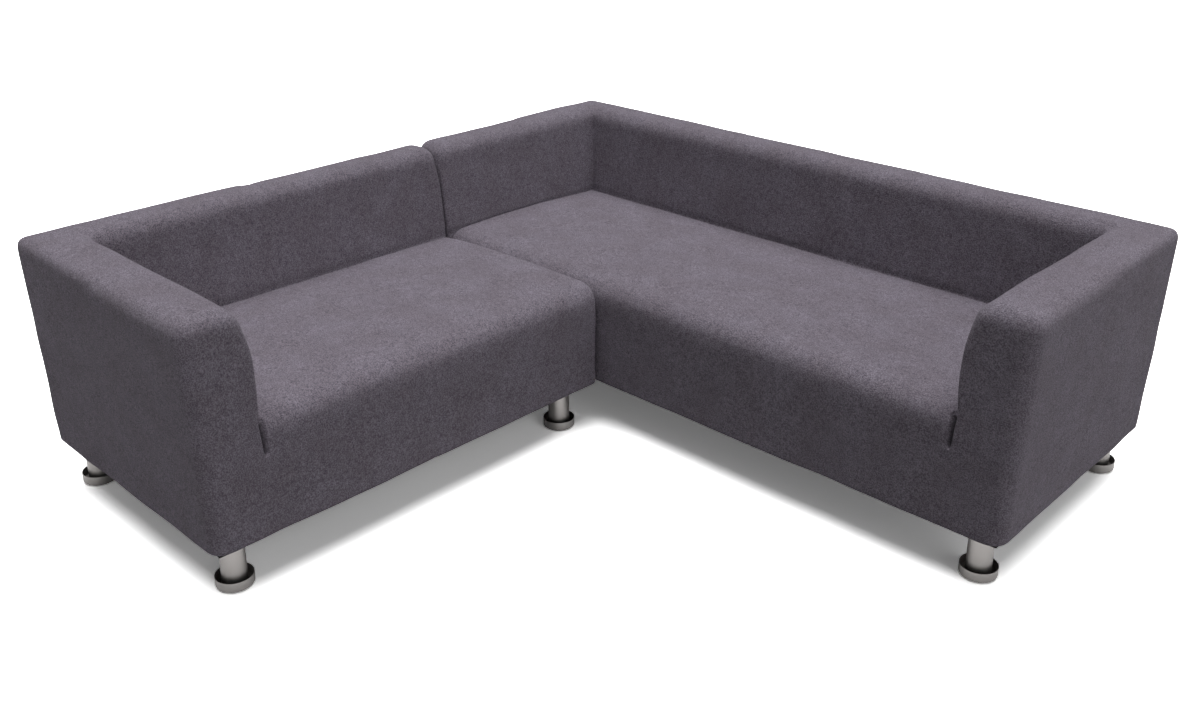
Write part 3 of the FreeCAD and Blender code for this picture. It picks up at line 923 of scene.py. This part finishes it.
# %% Metals and plastics
def plain_finish(name, code, roughness, metallic=0.0, grain_mm=None, grain_depth=0.0):
    """A material of one colour, with a fine grain pressed into its gloss if it has one."""
    material, tree = new_material(name)
    surface = add(tree, "ShaderNodeBsdfPrincipled", {
        "Base Color": colour(code), "Roughness": roughness, "Metallic": metallic,
    })
    if grain_mm:
        place = add(tree, "ShaderNodeTexCoord").outputs["Object"]
        grain = add(tree, "ShaderNodeTexNoise", {
            "Vector": place, "Scale": per_metre(grain_mm), "Detail": 2.0,
        })
        dents = add(tree, "ShaderNodeBump", {
            "Height": grain.outputs["Fac"], "Strength": 0.5, "Distance": grain_depth * MM,
        })
        tree.links.new(dents.outputs["Normal"], surface.inputs["Normal"])
    add(tree, "ShaderNodeOutputMaterial", {"Surface": surface.outputs["BSDF"]})
    return material


satin_steel = plain_finish("satin_brushed_steel", "#858280", 0.42, metallic=1.0)
zinc_steel = plain_finish("zinc_plated_steel", "#a2a6ab", 0.35, metallic=1.0)
bush_plastic = plain_finish("moulded_black_nylon", "#1b1b1c", 0.5)
glide_plastic = plain_finish("moulded_dark_grey_nylon", "#2a2a2b", 0.7, grain_mm=2, grain_depth=0.2)

# %% [markdown]
# Cloths and straps. The dust cloth is pressed from loose fibres and looks like black paper with
# a faint grain. Hardboard is pressed wood fibre, brown and dull. The straps are woven of rubber
# and yarn, whose knots show as small bumps about 3 mm apart.

# %% Straps, dust cloth and boards
under_cloth_finish = plain_finish("pressed_fibre_cloth", "#1d1d1f", 0.9, grain_mm=3, grain_depth=0.3)
hardboard = plain_finish("pressed_hardboard", "#7a5a3c", 0.75, grain_mm=4, grain_depth=0.2)

webbing_finish, tree = new_material("woven_elastic_webbing")
place = add(tree, "ShaderNodeTexCoord").outputs["Object"]
knots = add(tree, "ShaderNodeTexVoronoi", {"Vector": place, "Scale": per_metre(3)})
yarn = add(tree, "ShaderNodeValToRGB", {"Fac": knots.outputs["Distance"]})
yarn.color_ramp.elements[0].color = colour("#4a4a50")
yarn.color_ramp.elements[1].color = colour("#28282c")
weave = add(tree, "ShaderNodeBump", {
    "Height": knots.outputs["Distance"], "Strength": 0.6, "Distance": 0.6 * MM,
})
surface = add(tree, "ShaderNodeBsdfPrincipled", {
    "Base Color": yarn.outputs["Color"], "Roughness": 0.85, "Normal": weave.outputs["Normal"],
})
add(tree, "ShaderNodeOutputMaterial", {"Surface": surface.outputs["BSDF"]})

# %% [markdown]
# Planed pine has grain that runs along each board. A noise that is stretched a lot in one
# direction gives long streaks of light and dark wood. Stretching is done by scaling the place
# before it reaches the noise, once for each of the three directions.

# %% Planed pine
along_squeeze = 0.04


def pine(name, along):
    """Planed pine whose grain runs along axis 0, 1 or 2."""
    material, tree = new_material(name)
    place = add(tree, "ShaderNodeTexCoord").outputs["Object"]
    squeeze = [1.0, 1.0, 1.0]
    squeeze[along] = along_squeeze
    stretched = add(tree, "ShaderNodeMapping", {"Vector": place, "Scale": squeeze})
    streaks = add(tree, "ShaderNodeTexNoise", {
        "Vector": stretched.outputs["Vector"], "Scale": per_metre(9), "Detail": 5.0, "Distortion": 0.4,
    })
    tone = add(tree, "ShaderNodeValToRGB", {"Fac": streaks.outputs["Fac"]})
    tone_stops = tone.color_ramp.elements
    tone_stops[0].position, tone_stops[0].color = 0.35, colour("#b48a58")
    tone_stops[1].position, tone_stops[1].color = 0.65, colour("#dcbb8a")
    surface = add(tree, "ShaderNodeBsdfPrincipled", {
        "Base Color": tone.outputs["Color"], "Roughness": 0.65,
    })
    add(tree, "ShaderNodeOutputMaterial", {"Surface": surface.outputs["BSDF"]})
    return material


pines = [pine(f"planed_pine_along_{letter}", axis) for axis, letter in enumerate("xyz")]

# %% [markdown]
# Last, each piece gets its finish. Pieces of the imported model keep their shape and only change
# what fills their material slots. A board's grain follows its length, which is along X or Y
# depending on the module that it sits in.

# %% Hand out the finishes
def finish_node(name, material):
    """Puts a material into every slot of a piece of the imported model."""
    for slot in bpy.data.objects[name].material_slots:
        slot.material = material


for pieces, material in (
    (covers, fabric), (steel_pieces, satin_steel), (pads, glide_plastic),
    (strap_sets, webbing_finish), (dust_cloths, under_cloth_finish),
):
    for piece in pieces:
        piece.data.materials.append(material)
for name, lengthways, crossways in (("long", 0, 1), ("short", 1, 0)):
    for part in ("front_rail", "rear_rail", "back_top_rail"):
        finish_node(f"{name}_{part}", pines[lengthways])
    for part in ("cross_rails", "side_top_rails"):
        finish_node(f"{name}_{part}", pines[crossways])
    for part in ("posts", "corner_blocks"):
        finish_node(f"{name}_{part}", pines[2])
    for part in ("side_boards", "back_board"):
        finish_node(f"{name}_{part}", hardboard)
    for part in ("leg_bolts", "leg_inserts"):
        finish_node(f"{name}_{part}", zinc_steel)
    finish_node(f"{name}_leg_bushes", bush_plastic)
for name in ("connector_pins", "connector_plates", "connector_screws"):
    finish_node(name, zinc_steel)
print(len(bpy.data.materials), "materials")

# %% [markdown]
# The picture is taken standing in front of the open corner, looking down a little. The place,
# the direction and the lens follow from the sofa's own lines in the photograph. The lens is
# shifted, because the line of sight meets the photograph above its middle row, so that more is
# shown below that line than above it.

# %% Camera
picture_width, picture_height = 1200, 703
eye = Vector((1.9306, -2.0466, 1.6889))
heading, look_down = 2.3304, 0.3536
focal_px, sight_row = 1216.2, 250.0
sensor = 36.0

camera_data = bpy.data.cameras.new("camera")
camera_data.sensor_width = sensor
camera_data.lens = focal_px / picture_width * sensor
camera_data.shift_y = -(picture_height / 2 - sight_row) / picture_width
camera = bpy.data.objects.new("camera", camera_data)
bpy.context.scene.collection.objects.link(camera)
ahead = Vector((
    math.cos(heading) * math.cos(look_down), math.sin(heading) * math.cos(look_down), -math.sin(look_down),
))
camera.location = eye
camera.rotation_euler = ahead.to_track_quat("-Z", "Y").to_euler()
bpy.context.scene.camera = camera
print("lens", round(camera_data.lens, 2), "mm, shift", round(camera_data.shift_y, 4))

# %% [markdown]
# A broad soft light shines from overhead, and a weak one from the right lifts the faces on that
# side. A faint glow comes from all round. The background is white to the camera, to mirrors and
# to clear things, but lights the sofa only with that glow. A sun in Blender has no distance, so
# its angle alone says how soft its shadows are.

# %% Lights and background
world_glow = 0.09

sky = bpy.data.worlds.new("studio")
bpy.context.scene.world = sky
sky.use_nodes = True
tree = sky.node_tree
tree.nodes.clear()
ray = add(tree, "ShaderNodeLightPath").outputs
seen = add(tree, "ShaderNodeMath", {
    0: ray["Is Camera Ray"], 1: ray["Is Glossy Ray"],
}, operation="MAXIMUM")
seen = add(tree, "ShaderNodeMath", {
    0: seen.outputs[0], 1: ray["Is Transmission Ray"],
}, operation="MAXIMUM")
glow = add(tree, "ShaderNodeBackground", {"Color": colour("#ffffff"), "Strength": world_glow})
white = add(tree, "ShaderNodeBackground", {"Color": colour("#ffffff"), "Strength": 1.0})
chosen = add(tree, "ShaderNodeMixShader", {0: seen.outputs[0], 1: glow.outputs[0], 2: white.outputs[0]})
add(tree, "ShaderNodeOutputWorld", {"Surface": chosen.outputs[0]})


def soft_sun(name, energy, angle, direction):
    """A broad distant light that shines along a direction."""
    data = bpy.data.lights.new(name, "SUN")
    data.energy = energy
    data.angle = math.radians(angle)
    made = bpy.data.objects.new(name, data)
    made.rotation_euler = Vector(direction).to_track_quat("-Z", "Y").to_euler()
    bpy.context.scene.collection.objects.link(made)


soft_sun("soft_overhead", 3.2, 50, (-0.02, 0.0, -1.0))
soft_sun("soft_from_right", 0.6, 50, (-1.0, 0.06, -0.35))

# %% [markdown]
# The floor answers each kind of ray with a brightness of its own. To the camera it is bright
# enough to turn white wherever light falls on it, so that only the shadow near the sofa is left.
# In the steel it is mirrored as a pale floor. The sofa gets little light back from it, so that
# its fronts stay dark as in the photograph.

# %% Floor
floor_half = 20.0
floor_to_sofa = 0.19
floor_to_mirrors = 1.5
floor_to_camera = 2.1
shadow_lift = 0.10

corners = np.array([[-1, -1, 0], [1, -1, 0], [1, 1, 0], [-1, 1, 0]]) * floor_half
floor = mesh_object("floor", corners, [[0, 1, 2, 3]], smooth=False)
floor_paint, tree = new_material("white_studio_floor")
ray = add(tree, "ShaderNodeLightPath").outputs
mirrored = add(tree, "ShaderNodeMath", {
    0: ray["Is Glossy Ray"], 1: floor_to_mirrors, 2: floor_to_sofa,
}, operation="MULTIPLY_ADD")
shown = add(tree, "ShaderNodeMath", {
    0: ray["Is Camera Ray"], 1: floor_to_camera, 2: mirrored.outputs[0],
}, operation="MULTIPLY_ADD")
matt = add(tree, "ShaderNodeBsdfDiffuse", {"Color": shown.outputs[0]})
lift = add(tree, "ShaderNodeMath", {0: ray["Is Camera Ray"], 1: shadow_lift}, operation="MULTIPLY")
lit = add(tree, "ShaderNodeEmission", {"Color": colour("#ffffff"), "Strength": lift.outputs[0]})
together = add(tree, "ShaderNodeAddShader", {0: matt.outputs[0], 1: lit.outputs[0]})
add(tree, "ShaderNodeOutputMaterial", {"Surface": together.outputs[0]})
floor.data.materials.append(floor_paint)

bpy.context.scene.view_settings.view_transform = "Standard"
